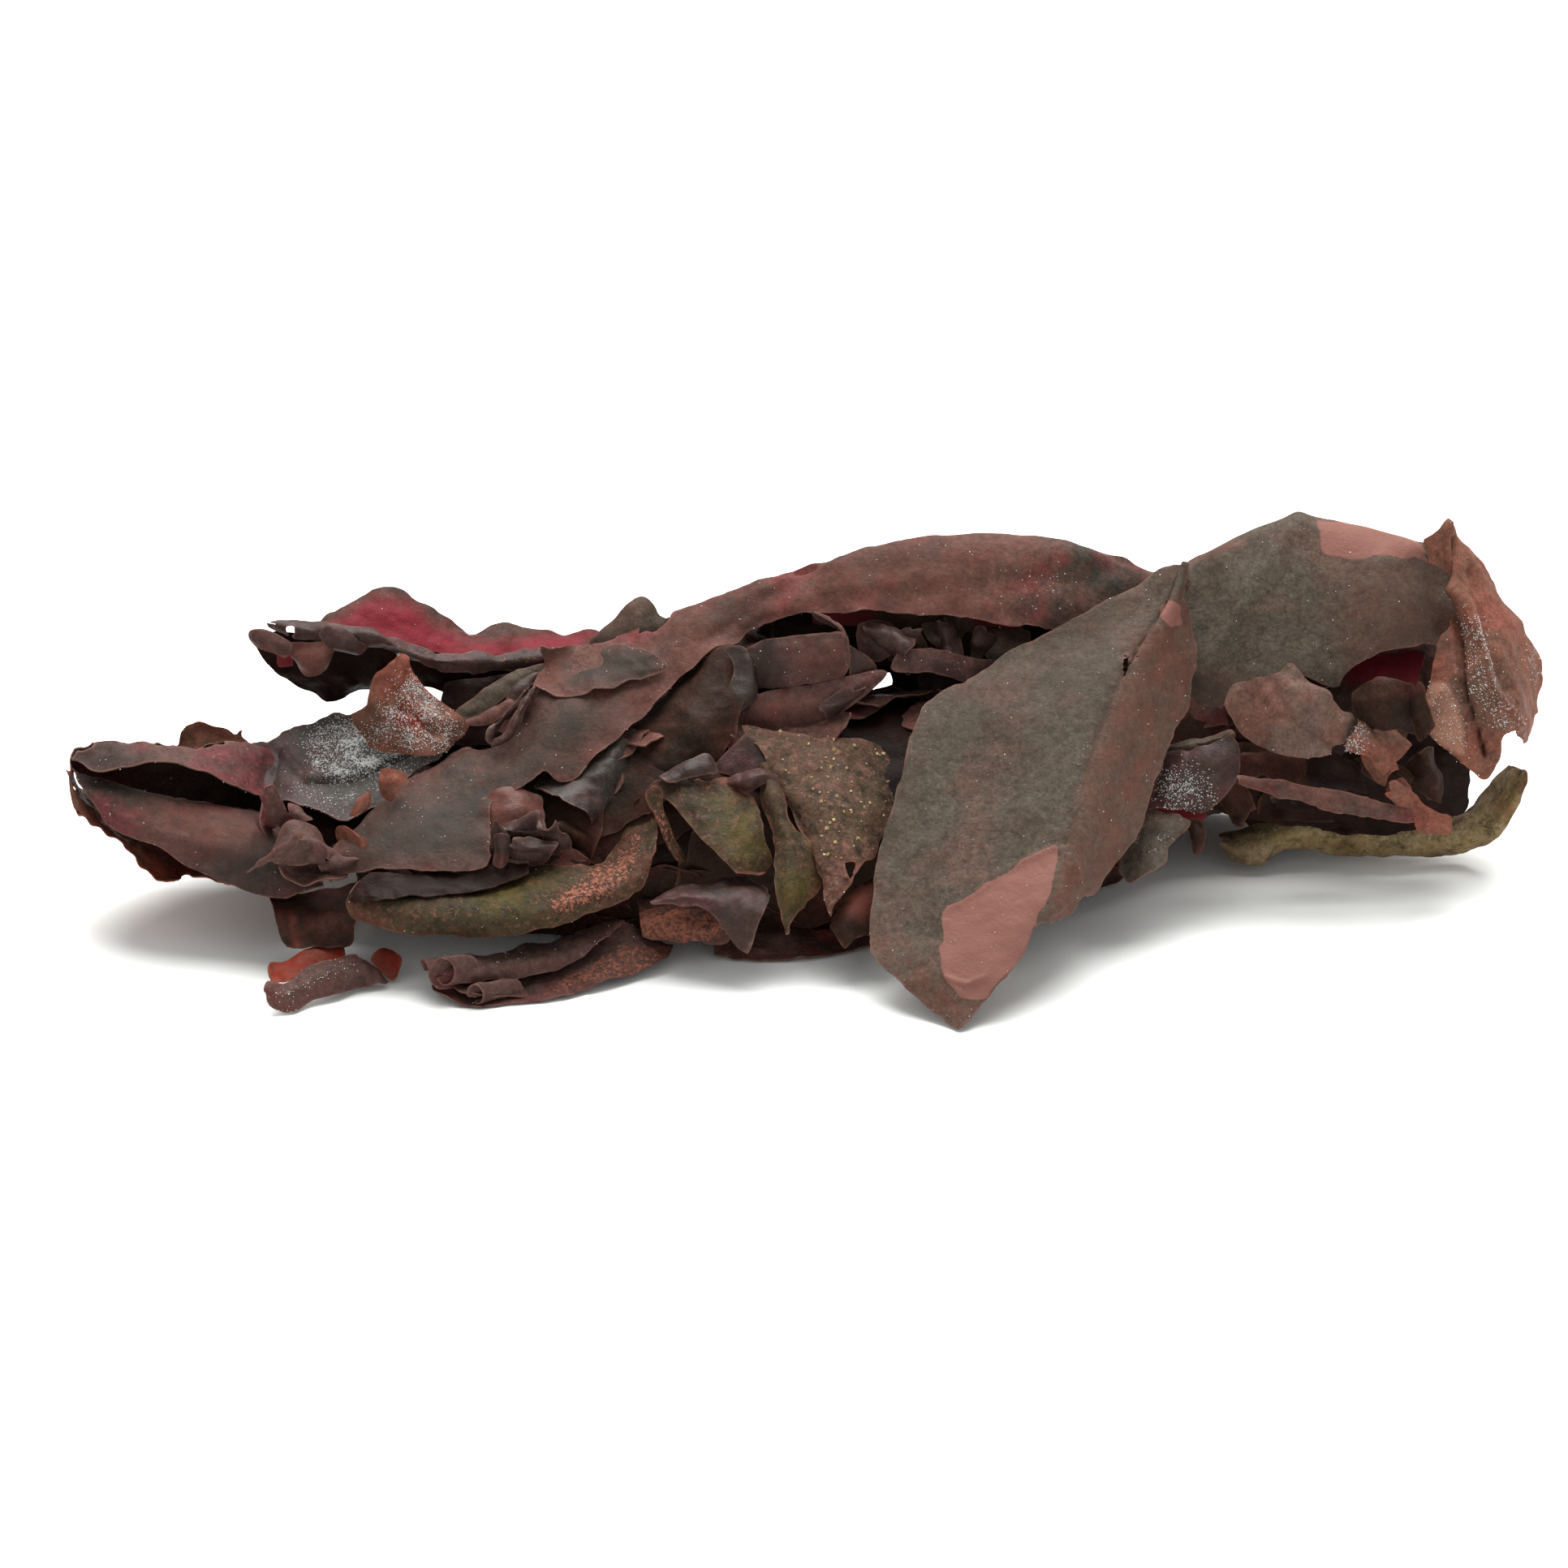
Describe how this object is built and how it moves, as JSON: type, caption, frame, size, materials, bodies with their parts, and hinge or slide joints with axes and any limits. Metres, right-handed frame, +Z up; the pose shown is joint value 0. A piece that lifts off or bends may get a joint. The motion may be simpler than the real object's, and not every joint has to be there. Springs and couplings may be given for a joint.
{
  "type": "dried dulse",
  "caption": "Clump of dried dulse seaweed: thin wavy leathery fronds, folded and curled, heaped on a tangle of smaller ones, in wine, taupe and olive",
  "frame": {"origin": "on the floor, under the middle of the clump's bounding box", "axes": "+X along the clump to the right as seen from its front, +Y away from the front towards the back, +Z up"},
  "size_m": [0.1827, 0.0674, 0.0432],
  "materials": {
    "taupe": "dry grey brown frond, satin, with a fine salt bloom",
    "wine": "dark wine red frond, satin, mottled",
    "brick": "brick brown frond, satin, with salt streaks",
    "olive": "olive brown frond, satin, with pale crust",
    "crimson": "thin crimson frond that lets some light through"
  },
  "bodies": {
    "root": {"arch_blade": "taupe", "back_left_blade": "wine", "back_long_blade": "wine", "back_low_blade": "wine", "back_right_blade": "wine", "back_upper_blade": "wine", "base_frond": "olive", "bottom_curl": "brick", "bottom_roll": "wine", "crusted_fold": "wine", "dark_roll": "wine", "end_blade": "brick", "front_blade": "taupe", "grey_bottom_flap": "wine", "hanging_curl": "wine", "hood_curl": "taupe", "inner_crimson": "crimson", "knot": "wine", "left_scoop": "wine", "long_band": "wine", "olive_flap": "olive", "olive_strip": "olive", "olive_tongue": "olive", "olive_triangle": "olive", "pleats": "wine", "red_corner": "wine", "red_tip_flake": "brick", "ridge_blade": "wine", "right_flake_lower": "brick", "right_flake_upper": "brick", "right_flap": "brick", "right_grey_frond": "taupe", "ruffle": "wine", "salted_blade": "taupe", "square_piece": "wine", "tangle": "wine", "twisted_strip": "wine", "upper_left_blade": "crimson"}
  },
  "joints": []
}
